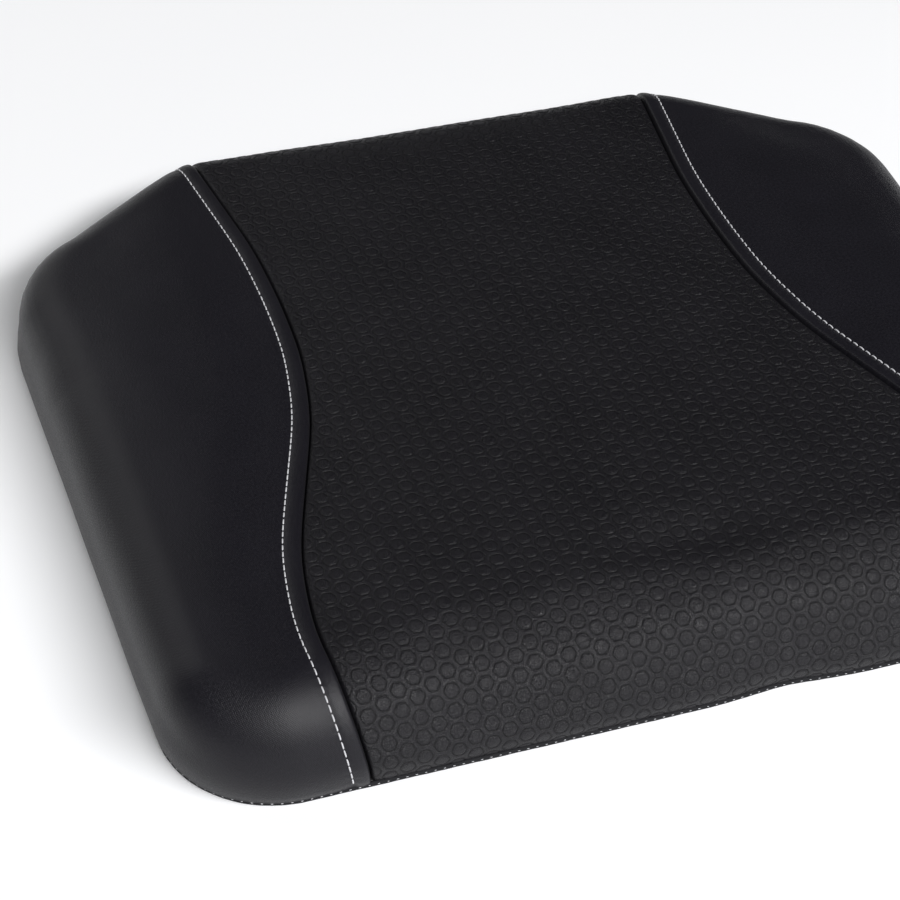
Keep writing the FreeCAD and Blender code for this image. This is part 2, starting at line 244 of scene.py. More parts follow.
def nearest_wall(points):
    """Signed distance outside the wall's plan, outward normal, and position round the perimeter."""
    best = np.full(len(points), -1e9)
    normal = np.zeros((len(points), 2))
    position = np.zeros(len(points))
    for arc in ARCS:
        along = unit(arc["start"] - arc["run_start"])
        outward = np.array([along[1], -along[0]])
        offset = points - arc["run_start"]
        travel = offset @ along
        distance = offset @ outward
        use = (travel >= 0) & (travel <= arc["run_length"]) & (distance > best)
        best[use] = distance[use]
        normal[use] = outward
        position[use] = arc["run_position"] + travel[use]
        spoke = points - arc["centre"]
        length = np.maximum(np.linalg.norm(spoke, axis=1), 1e-6)
        direction = spoke / length[:, None]
        sideways = outward[0] * direction[:, 1] - outward[1] * direction[:, 0]
        turned = np.arctan2(sideways, direction @ outward)
        distance = length - arc["radius"]
        use = (turned >= 0) & (turned <= arc["turn"]) & (distance > best)
        best[use] = distance[use]
        normal[use] = direction[use]
        position[use] = arc["position"] + turned[use] * arc["radius"]
    return best, normal, position


def wall_point(position):
    """Point and outward normal of the wall's plan at a position round the perimeter."""
    position = np.asarray(position, float) % PERIMETER
    point = np.zeros((len(position), 2))
    normal = np.zeros((len(position), 2))
    for arc in ARCS:
        along = unit(arc["start"] - arc["run_start"])
        outward = np.array([along[1], -along[0]])
        travel = position - arc["run_position"]
        use = (travel >= 0) & (travel <= arc["run_length"])
        point[use] = arc["run_start"] + travel[use, None] * along
        normal[use] = outward
        angle = (position - arc["position"]) / arc["radius"]
        use = (angle > 0) & (angle < arc["turn"])
        cosine = np.cos(angle[use])
        sine = np.sin(angle[use])
        across = outward[0] * cosine - outward[1] * sine
        turned = np.stack([across, outward[0] * sine + outward[1] * cosine], 1)
        normal[use] = turned
        point[use] = arc["centre"] + turned * arc["radius"]
    return point, normal


def roll_radius(foot, normal):
    """Radius of the edge roll above a point of the wall: softer in front, softest in its middle."""
    front = ease(0.2, 0.95, -normal[:, 1])
    middle = 1 - ease(FRONT_ROLL_FLAT, FRONT_ROLL_END, np.abs(foot[:, 0]))
    return ROLL + front * (WING_FRONT_ROLL - ROLL + (FRONT_ROLL - WING_FRONT_ROLL) * middle)


def wall_reach(radius, height=WALL_FOOT):
    """How far beyond the wall's plan the unrolled cover lies at a height of the wall."""
    return radius * (math.pi / 2 - 1) + TOP - radius - height


def place(u, v):
    """Cover points and normals for unrolled plan positions."""
    flat = np.stack([u, v], 1)
    outside, normal, _ = nearest_wall(flat)
    foot = flat - normal * outside[:, None]
    radius = roll_radius(foot, normal)
    along = np.maximum(radius + outside, 0)
    angle = np.minimum(along / radius, math.pi / 2)
    straight = np.maximum(along - radius * math.pi / 2, 0)
    plan = foot + normal * (radius * (np.sin(angle) - 1))[:, None]
    inside = along <= 0
    plan[inside] = flat[inside]
    height = TOP - radius * (1 - np.cos(angle)) - straight
    points = np.column_stack([plan, height])
    normals = np.column_stack([normal * np.sin(angle)[:, None], np.cos(angle)])
    return points, normals


def wall_bulge(height):
    return WALL_BULGE * np.exp(-((height - 12) / 9) ** 2)


def shape_wall(points):
    """Lets the stuffed wall bulge, and turns its foot in over the welt."""
    outside, normal, _ = nearest_wall(points[:, :2])
    height = points[:, 2]
    bulge = wall_bulge(height) * ease(-7, 0, outside)
    turned = FOOT_TURN * (1 - ease(WALL_FOOT, 7.0, height)) ** 2
    drawn = front_draw(points[:, 0], normal) * (1 - ease(4, 30, height))
    moved = points.copy()
    moved[:, :2] += normal * (bulge - turned - drawn)[:, None]
    return moved


def front_draw(x, normal):
    """The front's foot is drawn in a little right of its middle."""
    return 2.2 * np.exp(-((x - 36) / 20) ** 2) * ease(0.5, 0.9, -normal[:, 1])


def seam_half_width(v):
    step = 2.0
    grid = np.arange(SEAM_POINTS[0][0], SEAM_POINTS[-1][0] + step, step)
    return smooth_table(SEAM_POINTS, grid, 12.0, 2.5, v)


def cover_edge(across, end, height=WALL_FOOT):
    """Unrolled v at which the cover is down to a height, in front (end -1) or behind (end 1)."""
    near = np.full(len(across), end * (WALL_Y - 90.0))
    far = np.full(len(across), end * (WALL_Y + 60.0))
    for _ in range(26):
        middle = (near + far) / 2
        flat = np.column_stack([across * seam_half_width(middle), middle])
        outside, normal, _ = nearest_wall(flat)
        radius = roll_radius(flat - normal * outside[:, None], normal)
        over = outside > wall_reach(radius, height)
        far = np.where(over, middle, far)
        near = np.where(over, near, middle)
    return near


def seam_line(count):
    """Unrolled right-hand seam from the front foot to the rear foot: points and directions."""
    edge = np.ones(1)
    v = np.linspace(cover_edge(edge, -1)[0], cover_edge(edge, 1)[0], count)
    u = seam_half_width(v)
    direction = np.stack([np.gradient(u), np.gradient(v)], 1)
    direction /= np.linalg.norm(direction, axis=1)[:, None]
    return u, v, direction


# ---- the stuffing swells the cover

SIM_VOXEL = 5.0
SIM_FRAMES = 20
SIM_CAP = 5.0
SIM_PRESSURE = 4.0
SIM_SHARE = 0.55           # the cover is tighter than the simulated cloth
SIM_LATTICE = 6.0          # spacing at which the moves are read and blended
SIM_NEIGHBOURS = 14


def foam_block():
    """One closed mesh round all the foam."""
    copies = []
    for name in ("foam_core", "comfort_foam", "left_bolster_foam", "right_bolster_foam"):
        copy = NODES[name].copy()
        copy.data = NODES[name].data.copy()
        copy.parent = None
        bpy.context.scene.collection.objects.link(copy)
        copies.append(copy)
    bpy.ops.object.select_all(action="DESELECT")
    for copy in copies:
        copy.select_set(True)
    block = copies[0]
    bpy.context.view_layer.objects.active = block
    bpy.ops.object.join()
    remesh = block.modifiers.new("remesh", "REMESH")
    remesh.mode = "VOXEL"
    remesh.voxel_size = SIM_VOXEL * MM
    bpy.ops.object.modifier_apply(modifier=remesh.name)
    return block


def vertex_points(mesh):
    points = np.zeros(len(mesh.vertices) * 3)
    mesh.vertices.foreach_get("co", points)
    return points.reshape(-1, 3) / MM


def sew_down(block, rest):
    """Pins the block's surface at the seams and round its foot."""
    seam = np.abs(np.abs(rest[:, 0]) - seam_half_width(rest[:, 1])) < SIM_VOXEL
    held = np.nonzero(seam | (rest[:, 2] < WALL_FOOT + SIM_VOXEL))[0]
    group = block.vertex_groups.new(name="sewn")
    group.add([int(index) for index in held], 1.0, "REPLACE")
    return group


def swollen_form():
    """Foam block inflated as cloth: its rest points, and how far each one moved."""
    block = foam_block()
    rest = vertex_points(block.data)
    group = sew_down(block, rest)
    cloth = block.modifiers.new("cloth", "CLOTH")
    cloth.settings.use_pressure = True
    cloth.settings.uniform_pressure_force = SIM_PRESSURE
    cloth.settings.effector_weights.gravity = 0
    cloth.settings.vertex_group_mass = group.name
    cloth.settings.quality = 5
    cloth.settings.tension_stiffness = 25
    cloth.settings.compression_stiffness = 25
    cloth.settings.bending_stiffness = 2
    scene = bpy.context.scene
    for frame_number in range(1, SIM_FRAMES + 1):
        scene.frame_set(frame_number)
    graph = bpy.context.evaluated_depsgraph_get()
    moved = vertex_points(block.evaluated_get(graph).to_mesh()) - rest
    scene.frame_set(1)
    bpy.data.objects.remove(block)
    length = np.linalg.norm(moved, axis=1)
    share = SIM_SHARE * np.minimum(length, SIM_CAP) / np.maximum(length, 1e-6)
    return rest, moved * share[:, None]


class Swelling:
    """How far the stuffing pushes the cover out at any point."""

    def __init__(self):
        self.tree = None
        rest, self.moved = swollen_form()
        self.tree = kdtree.KDTree(len(rest))
        for index, point in enumerate(rest):
            self.tree.insert(point, index)
        self.tree.balance()
        self.cache = {}

    def at(self, points, normals):
        """Reads the simulated form on a coarse lattice, and blends between its corners."""
        if self.tree is None:
            return np.zeros(len(points))
        scaled = points / SIM_LATTICE
        base = np.floor(scaled).astype(int)
        share = scaled - base
        total = np.zeros((len(points), 3))
        for corner in range(8):
            step = np.array([corner & 1, corner >> 1 & 1, corner >> 2 & 1])
            weight = np.prod(np.where(step, share, 1 - share), axis=1)
            keys, back = np.unique(base + step, axis=0, return_inverse=True)
            values = np.array([self.read(key) for key in keys])
            total += values[back.ravel()] * weight[:, None]
        return np.sum(total * normals, axis=1)

    def read(self, key):
        key = tuple(int(part) for part in key)
        if key not in self.cache:
            found = self.tree.find_n([part * SIM_LATTICE for part in key], SIM_NEIGHBOURS)
            weights = np.array([1 / (item[2] + 2) ** 2 for item in found])
            moves = np.array([self.moved[item[1]] for item in found])
            self.cache[key] = (moves * weights[:, None]).sum(0) / weights.sum()
        return self.cache[key]


swelling = Swelling()


# ---- cover panels

def honeycomb(u, v):
    """Embossed cells: a slightly raised disc inside a narrow pressed ring, rows along v."""
    best = np.full(len(u), 1e9)
    cell_u = np.zeros(len(u))
    cell_v = np.zeros(len(u))
    column = np.floor(u / CELL_COLUMN)
    for step in (0, 1):
        centre_u = (column + step) * CELL_COLUMN
        stagger = ((column + step) % 2) * CELL_PITCH / 2
        centre_v = np.round((v - stagger) / CELL_PITCH) * CELL_PITCH + stagger
        distance = np.hypot(u - centre_u, v - centre_v)
        use = distance < best
        best[use] = distance[use]
        cell_u[use] = (u - centre_u)[use]
        cell_v[use] = (v - centre_v)[use]
    sharpness = 7
    total = np.zeros(len(u))
    for angle in (90, 30, 150):
        toward = math.radians(angle)
        total += np.abs(cell_u * math.cos(toward) + cell_v * math.sin(toward)) ** sharpness
    radius = total ** (1 / sharpness)
    disc = CELL_RISE * (1 - 0.2 * (radius / CELL_RADIUS) ** 2)
    inner = ease(CELL_RADIUS - 0.45, CELL_RADIUS + 0.1, radius)
    outer = ease(CELL_RADIUS + 0.15, CELL_RADIUS + 0.75, radius)
    return disc * (1 - inner) - CELL_DEPTH * inner * (1 - outer)


def centre_grid():
    """Unrolled grid of the centre panel, from the front foot to the zip panel's top seam."""
    rows = int(2 * (WALL_Y + 30) / CENTRE_STEP)
    columns = int(2 * 114 / CENTRE_STEP)
    spread = np.linspace(-1, 1, columns)
    # Columns gather at the seams, where the surface turns down.
    across = spread * (1 + 0.12 * (1 - spread ** 2))
    front = cover_edge(across, -1)
    rear = cover_edge(across, 1, ZIP_PANEL_TOP)
    share = np.linspace(0, 1, rows)[:, None]
    v = (front + (rear - front) * share).ravel()
    across = np.tile(across, rows)
    u = across * seam_half_width(v)
    rear_gap = ((rear - front) * (1 - share)).ravel()
    return rows, columns, across, u, v, rear_gap


def seam_slope(v):
    return (seam_half_width(v + 2) - seam_half_width(v - 2)) / 4


def front_lip(u, v):
    """Soft dip behind a slightly raised lip, where a sitter's weight has set the foam."""
    dip = np.exp(-((u - DIP[0]) / 30) ** 2 - ((v - DIP[1]) / 14) ** 2)
    lip = np.exp(-((u - LIP[0]) / 34) ** 2 - ((v - LIP[1]) / 15) ** 2)
    return 1.5 * lip - 2.1 * dip


def centre_piece():
    rows, columns, across, u, v, rear_gap = centre_grid()
    points, normals = place(u, v)
    distance = (1 - np.abs(across)) * seam_half_width(v) / np.hypot(1, seam_slope(v))
    height = section_height(CENTRE_SECTION, distance)
    height += swelling.at(points, normals) * ease(2, 30, distance) * ease(0, 20, rear_gap)
    height += 0.35 * smooth_noise(u, v, 70, 3) * ease(3, 20, distance)
    height += front_lip(u, v)
    height += honeycomb(u, v) * ease(1.0, 3.5, distance) * ease(1.5, 4.0, rear_gap)
    height -= 1.3 * np.exp(-(rear_gap / 1.1) ** 2)
    points = shape_wall(points + normals * height[:, None])
    return make_mesh("centre_cover", points, grid_faces(rows, columns), np.column_stack([u, v]))


def wing_grid():
    """Unrolled grid of the right wing: rows run from the seam out to the foot of the wall."""
    rows = int(540 / WING_STEP)
    seam_u, seam_v, _ = seam_line(rows)
    ends = np.array([[seam_u[0], seam_v[0]], [seam_u[-1], seam_v[-1]]])
    start, end = nearest_wall(ends)[2]
    if end < start:
        end += PERIMETER
    foot, normal = wall_point(np.linspace(start, end, rows))
    outer = foot + normal * wall_reach(roll_radius(foot, normal))[:, None]
    length = np.hypot(outer[:, 0] - seam_u, outer[:, 1] - seam_v)
    widest = float(length.max())
    step = np.concatenate([np.arange(0, 12, 0.45), 12 * (1.045 ** np.arange(0, 200))])
    step = np.append(step[step < widest - 0.5], widest)
    columns = len(step)
    # Near the seam the columns keep their true distance; further out they stretch to the edge.
    near = 12.0
    stretch = np.maximum(length[:, None] - near, 0.5) / (widest - near)
    share = np.where(step[None, :] > near, near + (step[None, :] - near) * stretch, step[None, :])
    share = np.minimum(share, length[:, None]) / np.maximum(length[:, None], 1e-6)
    u = (seam_u[:, None] + (outer[:, 0] - seam_u)[:, None] * share).ravel()
    v = (seam_v[:, None] + (outer[:, 1] - seam_v)[:, None] * share).ravel()
    return rows, columns, u, v


def wing_piece(name, side, seed):
    rows, columns, u, v = wing_grid()
    points, normals = place(u, v)
    distance = seam_distance(u, v)
    height = section_height(WING_SECTION, distance)
    height += swelling.at(points * [side, 1, 1], normals * [side, 1, 1]) * ease(6, 40, distance)
    height += 0.45 * smooth_noise(u, v, 85, seed) * ease(8, 30, distance)
    height += puckers(u, v, distance, seed)
    points = shape_wall(points + normals * height[:, None]) * [side, 1, 1]
    faces = grid_faces(rows, columns, flip=side < 0)
    return weld(make_mesh(name, points, faces, np.column_stack([u * side, v])))


def seam_distance(u, v):
    """Distance outside the right-hand seam, in the unrolled plane."""
    seam_u, seam_v, direction = seam_line(520)
    distance = np.zeros(len(u))
    for first in range(0, len(u), 20000):
        part = slice(first, first + 20000)
        gap = (u[part, None] - seam_u) ** 2 + (v[part, None] - seam_v) ** 2
        nearest = gap.argmin(1)
        offset = np.stack([u[part] - seam_u[nearest], v[part] - seam_v[nearest]], 1)
        across = direction[nearest]
        distance[part] = offset[:, 0] * across[:, 1] - offset[:, 1] * across[:, 0]
    return np.maximum(distance, 0)


def puckers(u, v, distance, seed):
    """Small pulls of the fabric across the topstitch."""
    band = np.exp(-((distance - STITCH_OFFSET) / 3.0) ** 2)
    tug = np.sin(v * 2 * math.pi / STITCH_PITCH) * 0.06
    waves = smooth_noise(v, u * 0.15, 17, seed + 1) * 0.16
    return band * (tug + waves)


# ---- threads

THREAD = 0.32
THREAD_SIDES = 8
THREAD_SHARES = np.concatenate([[0], np.linspace(0.02, 0.98, 7), [1]])


def thread_rows(name, starts, ends, normals, arch=0.35, radius=THREAD):
    """Stitches: round threads that rise out of one needle hole and dive into the next."""
    count = len(starts)
    share = THREAD_SHARES
    angle = np.linspace(0, 2 * math.pi, THREAD_SIDES, endpoint=False)
    along = ends - starts
    forward = along / np.linalg.norm(along, axis=1)[:, None]
    across = np.cross(forward, normals)
    across /= np.linalg.norm(across, axis=1)[:, None]
    lift = np.maximum(np.sin(share * math.pi), 0) ** 0.6 * (radius + arch) - radius - 0.05
    girth = radius * np.minimum(1, 0.55 + 1.6 * np.sin(share * math.pi))
    girth[[0, -1]] = 0
    path = starts[:, None] + along[:, None] * share[None, :, None]
    path = path + normals[:, None] * lift[None, :, None]
    ring = across[:, None, None] * np.cos(angle)[None, None, :, None]
    ring = ring + normals[:, None, None] * np.sin(angle)[None, None, :, None]
    points = path[:, :, None] + ring * girth[None, :, None, None]
    points = points.reshape(-1, 3)
    faces = repeated(grid_faces(len(share), THREAD_SIDES, flip=True, wrap=True), count)
    return weld(make_mesh(name, points, faces))


def topstitch_line(side):
    """Closely spaced points and normals along a wing's topstitch."""
    seam_u, seam_v, direction = seam_line(2400)
    u = seam_u + direction[:, 1] * STITCH_OFFSET
    v = seam_v - direction[:, 0] * STITCH_OFFSET
    points, normals = place(u, v)
    height = section_height(WING_SECTION, np.full(len(u), STITCH_OFFSET))
    mirror = [side, 1, 1]
    height += swelling.at(points * mirror, normals * mirror) * ease(6, 40, STITCH_OFFSET)
    points = shape_wall(points + normals * height[:, None])
    keep = points[:, 2] > STITCH_END
    return points[keep] * mirror, normals[keep] * mirror


def topstitch_piece(name, side, seed):
    """White lockstitch that follows the seam on the wing."""
    points, normals = topstitch_line(side)
    steps = np.linalg.norm(np.diff(points, axis=0), axis=1)
    length = np.concatenate([[0], np.cumsum(steps)])
    count = int(length[-1] / STITCH_PITCH)
    draw = np.random.default_rng(seed)
    holes = np.arange(count) * STITCH_PITCH + draw.normal(0, 0.08, count)

    def read(table, at):
        return np.stack([np.interp(at, length, table[:, axis]) for axis in range(3)], 1)

    facing = read(normals, holes + STITCH_PITCH / 2)
    facing /= np.linalg.norm(facing, axis=1)[:, None]
    starts = read(points, holes + STITCH_GAP)
    ends = read(points, holes + STITCH_PITCH - STITCH_GAP)
    return thread_rows(name, starts, ends, facing)


def thread_line(name, start, end, facing):
    """Straight row of stitches between two points."""
    gap = 0.35
    start = np.array(start, float)
    end = np.array(end, float)
    length = np.linalg.norm(end - start)
    count = int(length / STITCH_PITCH)
    forward = (end - start) / length
    holes = start + forward * (np.arange(count) * length / count)[:, None]
    normals = np.tile(np.array(facing, float), (count, 1))
    return thread_rows(name, holes + forward * gap, holes + forward * (length / count - gap), normals)


def join(name, pieces):
    """Joins pieces of the same material into one object."""
    bpy.ops.object.select_all(action="DESELECT")
    for piece in pieces:
        piece.select_set(True)
    bpy.context.view_layer.objects.active = pieces[0]
    bpy.ops.object.join()
    pieces[0].name = name
    return pieces[0]


# ---- piping round the foot

def welt_centre(position):
    """Centre line of the piping in plan, and its outward normal."""
    foot, normal = wall_point(position)
    out = WELT_OUT - WELT_RADIUS - front_draw(foot[:, 0], normal)
    return foot + normal * out[:, None], normal


def welt_piece():
    """Piping with the slight unevenness of sewn bias tape."""
    rings = int(PERIMETER / 1.6)
    sides = 16
    position = np.arange(rings) * PERIMETER / rings
    turns = position * 2 * math.pi
    centre, normal = welt_centre(position)
    wobble = 0.10 * np.sin(turns / 23.0) + 0.06 * np.sin(turns / 7.9 + 1)
    angle = np.linspace(0, 2 * math.pi, sides, endpoint=False)
    ribs = 0.06 * np.sin(turns / 3.9)[:, None] * np.cos(angle - 0.9)
    radius = WELT_RADIUS - 0.06 + ribs
    outward = radius * np.cos(angle) + wobble[:, None] * 0.5
    points = np.zeros((rings, sides, 3))
    points[:, :, :2] = centre[:, None] + normal[:, None] * outward[:, :, None]
    points[:, :, 2] = np.maximum(WELT_RADIUS + radius * np.sin(angle), 0.0)
    faces = grid_faces(rings + 1, sides, flip=True, wrap=True) % (rings * sides)
    uv = np.column_stack([np.repeat(position, sides), np.tile(angle * WELT_RADIUS, rings)])
    return make_mesh("welt_piping", points.reshape(-1, 3), faces, uv)


def welt_stitches():
    """Fine stitches that show where the cover meets the piping."""
    count = int(PERIMETER / STITCH_PITCH)
    pitch = PERIMETER / count
    position = np.arange(count) * pitch
    rise = math.radians(22)    # how far round the piping they lie
    gap = 1.4

    def at(offset):
        centre, normal = welt_centre(position + offset)
        height = np.full(count, WELT_RADIUS * (1 + math.sin(rise)))
        return np.column_stack([centre + normal * WELT_RADIUS * math.cos(rise), height])

    _, normal = wall_point(position + pitch / 2)
    facing = np.column_stack([normal * math.cos(rise), np.full(count, math.sin(rise))])
    return thread_rows("welt_stitches", at(gap), at(pitch - gap), facing, arch=0.02, radius=0.13)


# ---- zip in the rear wall

ZIP_LOW = cad_box("zip_tape_lower")[0]
ZIP_HIGH = cad_box("zip_tape_upper")[1]
ZIP_HEIGHT = (ZIP_LOW[2] + ZIP_HIGH[2]) / 2
SLOT_HALF = 90.0
SLOT_HALF_HEIGHT = 4.5
SLOT_EDGE = 1.3            # radius of the folded edge round the slot
EDGE_STEPS = np.array([0, 0.12, 0.35, 0.75, 1.3])


def away_from(edge, direction):
    """Grid lines that gather at the slot's edge."""
    return edge + direction * EDGE_STEPS


def zip_columns():
    """Distances along the rear wall from its middle to the slot's end and a little beyond."""
    inner = np.linspace(0, SLOT_HALF - 4, 44)
    near = np.array([SLOT_HALF - 2.5, SLOT_HALF - 1.2])
    return np.concatenate([inner, near, away_from(SLOT_HALF, 1)])


def zip_heights():
    low = ZIP_HEIGHT - SLOT_HALF_HEIGHT
    high = ZIP_HEIGHT + SLOT_HALF_HEIGHT
    below = np.linspace(WALL_FOOT, low - 2.4, 9)
    between = np.linspace(low, high, 7)[1:-1]
    above = np.linspace(high + 2.4, ZIP_PANEL_TOP - 1.5, 4)
    top = np.linspace(ZIP_PANEL_TOP - 1.1, ZIP_PANEL_TOP, 5)
    return np.concatenate([below, away_from(low, -1)[::-1], between, away_from(high, 1), above, top])


def seam_positions(heights):
    """Where the right-hand seam crosses each height of the rear wall, along the perimeter."""
    found = []
    for height in heights:
        v = cover_edge(np.ones(1), 1, height)
        found.append(nearest_wall(np.column_stack([seam_half_width(v), v]))[2][0])
    return np.array(found)


def zip_panel_grid():
    """Distance along the rear wall from its middle, height, and distance of the seam, row by row."""
    heights = zip_heights()
    half = zip_columns()
    middle = nearest_wall(np.array([[0.0, WALL_Y + 1.0]]))[2][0]
    reach = middle - seam_positions(heights)
    share = np.linspace(0, 1, 16)[1:]
    side = half[-1] + (reach[:, None] - half[-1]) * share
    right = np.concatenate([np.tile(half, (len(heights), 1)), side], axis=1)
    along = np.concatenate([-right[:, :0:-1], right], axis=1)
    rows, columns = along.shape
    return rows, columns, middle, along.ravel(), np.repeat(heights, columns), np.repeat(reach, columns)


def zip_panel_surface(along, height, reach, gap):
    """How far the panel stands out from the wall's plan."""
    rolled = np.maximum(height - (TOP - ROLL), 0)
    surface = np.sqrt(ROLL ** 2 - rolled ** 2) - ROLL
    fold = np.clip(SLOT_EDGE - gap, 0, SLOT_EDGE)
    surface -= SLOT_EDGE - np.sqrt(SLOT_EDGE ** 2 - fold ** 2)
    seam_gap = np.minimum(reach - np.abs(along), ZIP_PANEL_TOP - height)
    surface -= 1.3 * np.exp(-(seam_gap / 1.1) ** 2)
    # The zip's tapes keep the panel flat along the zip and where the tab lies at either end.
    surface -= wall_bulge(height) * (1 - ease(104, 113, np.abs(along)))
    return surface + 0.06 * smooth_noise(along, height, 24, 31) * ease(2, 6, gap)


def rear_zip_piece():
    """Plain panel across the rear wall, with the zip's slot and its folded edges."""
    rows, columns, middle, along, height, reach = zip_panel_grid()
    beyond_x = np.abs(along) - SLOT_HALF
    beyond_z = np.abs(height - ZIP_HEIGHT) - SLOT_HALF_HEIGHT
    gap = np.hypot(np.maximum(beyond_x, 0), np.maximum(beyond_z, 0))
    surface = zip_panel_surface(along, height, reach, gap)
    foot, normal = wall_point(middle - along)
    points = shape_wall(np.column_stack([foot + normal * surface[:, None], height]))
    inside = ((beyond_x < -1e-6) & (beyond_z < -1e-6)).reshape(rows, columns)
    hole = inside[:-1, :-1] | inside[1:, :-1] | inside[:-1, 1:] | inside[1:, 1:]
    faces = grid_faces(rows, columns, flip=True)[~hole.ravel()]
    lip_points, lip_faces, source = slot_lip(points.reshape(rows, columns, 3), hole)
    uv = np.column_stack([along, height])
    uv = np.concatenate([uv, uv[source]])
    points = np.concatenate([points, lip_points])
    return make_mesh("rear_zip_cover", points, np.concatenate([faces, lip_faces]), uv)


def slot_lip(grid, hole):
    """Points, faces and starting points of the slot's folded edge, which goes in to the tape."""
    rows, columns = grid.shape[:2]
    row_hits = np.nonzero(hole.any(axis=1))[0]
    column_hits = np.nonzero(hole.any(axis=0))[0]
    low, high = row_hits[0], row_hits[-1] + 1
    left, right = column_hits[0], column_hits[-1] + 1
    loop = [(low, c) for c in range(left, right)] + [(r, right) for r in range(low, high)]
    loop += [(high, c) for c in range(right, left, -1)] + [(r, left) for r in range(high, low, -1)]
    index = np.array([r * columns + c for r, c in loop])
    inner = grid.reshape(-1, 3)[index].copy()
    inner[:, 1] = ZIP_HIGH[1] - 0.02
    first = rows * columns
    count = len(index)
    following = (np.arange(count) + 1) % count
    faces = np.stack([index, first + np.arange(count), first + following, index[following]], 1)
    return inner, faces, index


def tape_piece(name, side):
    """Woven zip tape with a bead along the chain."""
    low, high = cad_box(name)
    thick = (high[1] - low[1]) / 2
    centre = (high[1] + low[1]) / 2
    stations = np.linspace(low[0], high[0], 150)
    across = np.linspace(0, 1, 14)
    width = high[2] - low[2]
    inner_edge = low[2] if side > 0 else high[2]
    edge = np.maximum(np.abs(across - 0.5) - 0.44, 0) / 0.06
    bead = 0.12 * np.exp(-((across - 0.1) / 0.07) ** 2)
    depth = thick * (0.35 + 0.65 * np.sqrt(np.maximum(1 - edge ** 2, 0))) + bead
    height = inner_edge + side * width * across
    front = np.column_stack([height, depth])
    back = np.column_stack([height, -np.minimum(depth, thick)])
    profile = np.concatenate([front, back[::-1]])
    ripple = 0.04 * np.sin(stations / 3.1) + 0.05 * np.sin(stations / 11.0)
    points = np.zeros((len(stations), len(profile), 3))
    points[:, :, 0] = stations[:, None]
    points[:, :, 1] = centre + profile[None, :, 1] * 0.94 + ripple[:, None] * 0.4
    points[:, :, 2] = profile[None, :, 0]
    faces = grid_faces(len(stations), len(profile), flip=side < 0, wrap=True)
    uv = np.column_stack([np.repeat(stations, len(profile)), np.tile(profile[:, 0], len(stations))])
    return make_mesh(name + "_weave", points.reshape(-1, 3), faces, uv)


# ---- underside

BASE_INSET = 2 * WELT_RADIUS - WELT_OUT + 0.05


def base_piece():
    """Non-slip base fabric, sewn in all round and faintly quilted by its own tension."""
    count = 360
    foot, normal = wall_point(np.arange(count) * PERIMETER / count)
    rim = foot - normal * (BASE_INSET + front_draw(foot[:, 0], normal))[:, None]
    # Rings run from the middle of the upper face out to the rim, and back along the lower face.
    rings = 1 - np.linspace(0, 1, 90) ** 1.3
    layers = [np.column_stack([rim * ring, np.full(count, BASE_HIGH)]) for ring in rings[::-1]]
    for ring in rings:
        layer = np.column_stack([rim * ring, np.full(count, BASE_LOW)])
        swell = 1 + smooth_noise(layer[:, 0], layer[:, 1], 40, 5)
        layer[:, 2] += 0.10 * swell * (1 - ring ** 8)
        layers.append(layer)
    grid = np.concatenate(layers)
    faces = grid_faces(len(layers), count, flip=True, wrap=True)
    return weld(make_mesh("base_fabric_sheet", grid, faces, grid[:, :2]))


HOOK_TAPE = 0.8            # thickness of a strip's tape
HOOK_CORNER = 6.0
HOOK_BORDER = 5.0          # plain edge round the field of hooks
HOOK_PITCH = 2.3


def hook_strip_piece(node):
    """Woven tape with a field of small moulded hooks that point down."""
    low, high = cad_box(node)
    centre = (low + high) / 2
    half_x = (high[0] - low[0]) / 2
    half_y = (high[1] - low[1]) / 2
    top = high[2]
    bottom = top - HOOK_TAPE
    count = 160
    turn = np.linspace(0, 2 * math.pi, count, endpoint=False)
    rim_x = np.sign(np.cos(turn)) * (half_x - HOOK_CORNER) + HOOK_CORNER * np.cos(turn)
    rim_y = np.sign(np.sin(turn)) * (half_y - HOOK_CORNER) + HOOK_CORNER * np.sin(turn)
    rim = np.column_stack([rim_x, rim_y])
    section = [
        (0.0, top), (0.5, top), (0.985, top), (1.0, top - 0.2),
        (1.0, bottom + 0.2), (0.985, bottom), (0.93, bottom), (0.5, bottom), (0.0, bottom),
    ]
    loops = []
    for share, height in section:
        shrunk = np.sign(rim) * np.maximum(np.abs(rim) - (1 - share) * half_y, 0)
        loops.append(np.column_stack([shrunk + centre[:2], np.full(count, height)]))
    faces = grid_faces(len(loops), count, flip=True, wrap=True)
    tape = weld(make_mesh(node + "_tape", np.concatenate(loops), faces))
    field = hook_field(node, centre, half_x - HOOK_BORDER, half_y - HOOK_BORDER, bottom)
    return join(node + "_hooks", [tape, field])


